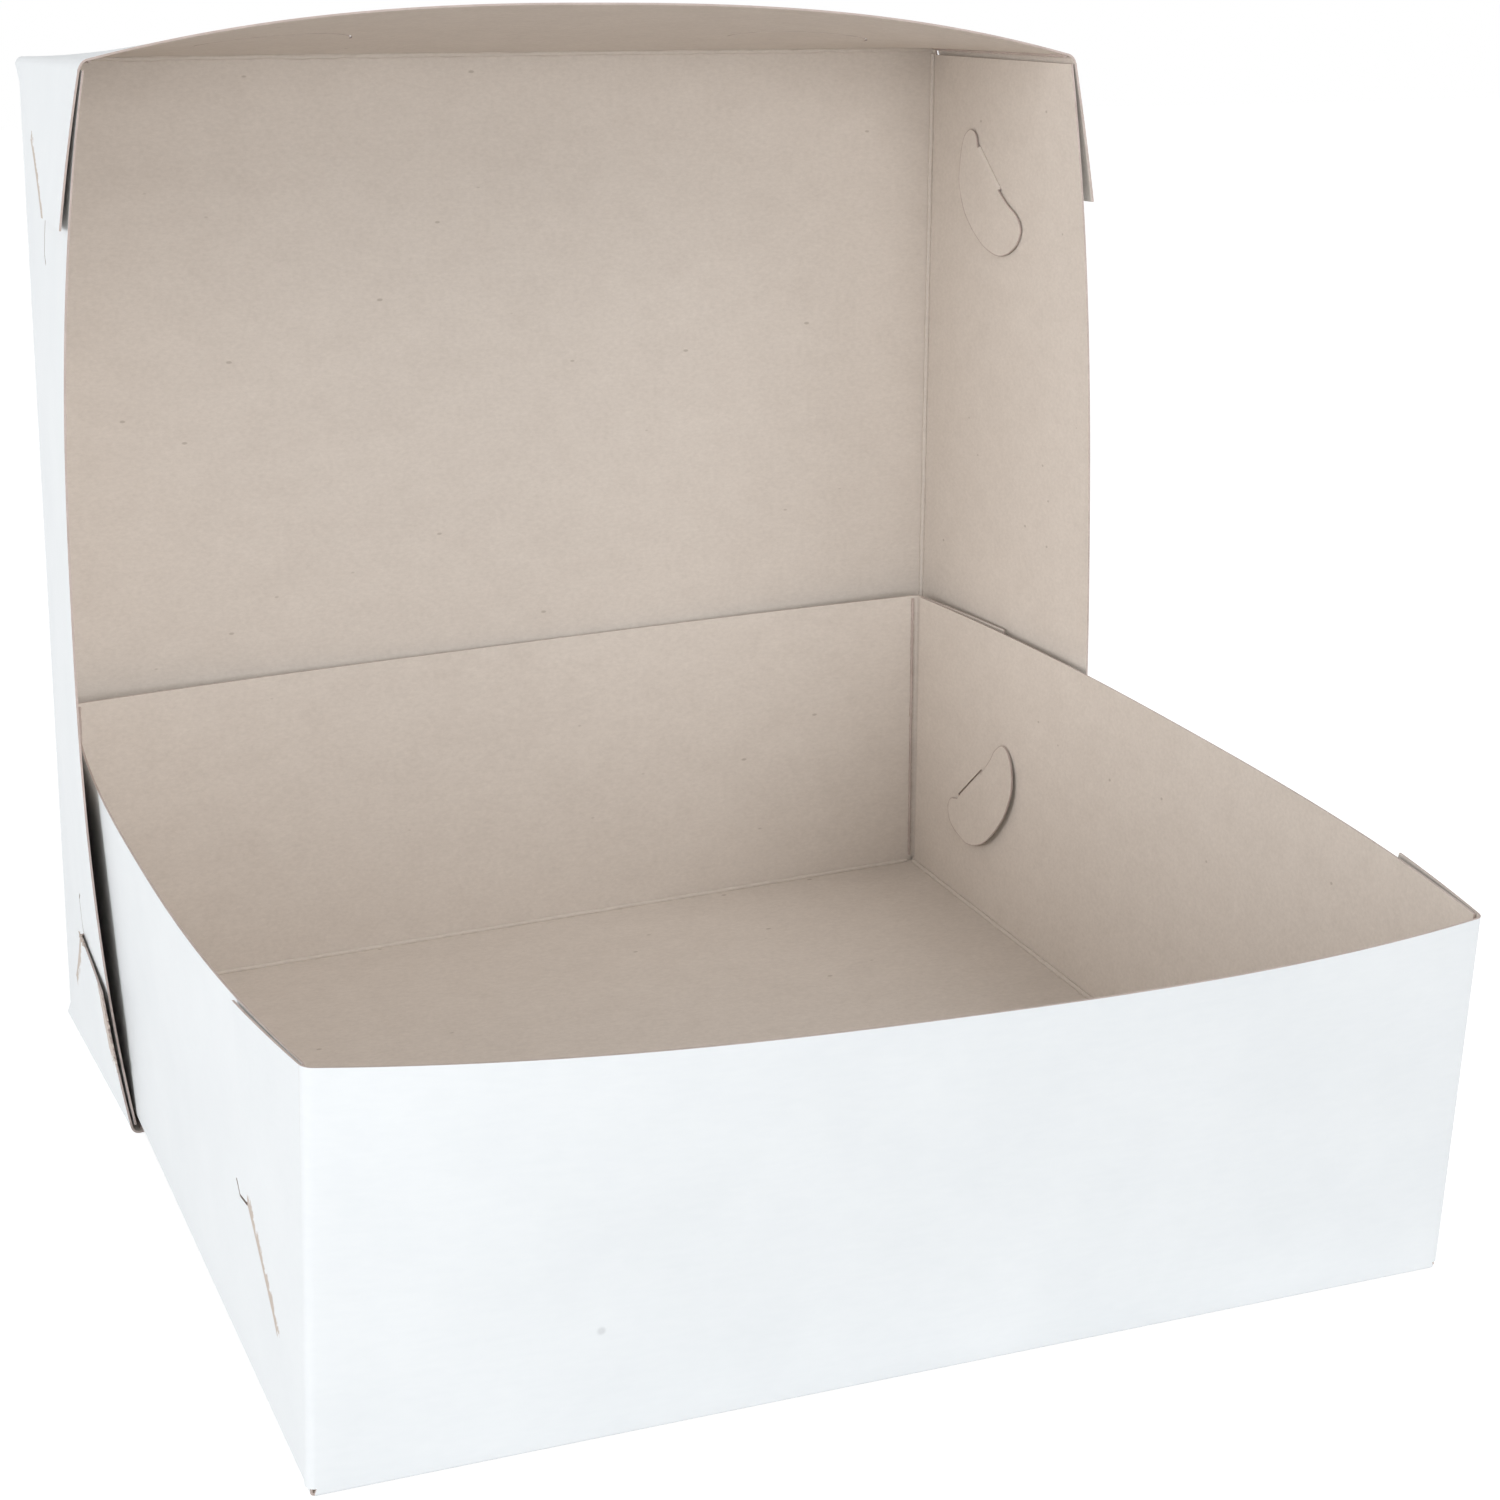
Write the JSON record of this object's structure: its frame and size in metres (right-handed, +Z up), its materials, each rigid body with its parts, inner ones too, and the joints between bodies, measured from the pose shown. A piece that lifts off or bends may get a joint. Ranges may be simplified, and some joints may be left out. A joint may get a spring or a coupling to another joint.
{
  "type": "pastry box",
  "caption": "Shallow square box of folded white card with a kraft-grey inside: an open base tray, and its lid tray stood upright on edge behind it, corners locked by tabs.",
  "frame": {"origin": "on the table, under the middle of the whole open box", "axes": "+X to the right along the base tray's front wall, +Y to the back, towards the standing lid, +Z up"},
  "size_m": [0.3302, 0.3294, 0.3246],
  "materials": {
    "base_card": "smooth white coating outside, bare grey-brown board inside",
    "lid_card": "smooth white coating outside, bare grey-brown board inside"
  },
  "bodies": {
    "root": {"base_tray": "base_card", "lid_tray": "lid_card"}
  },
  "joints": []
}
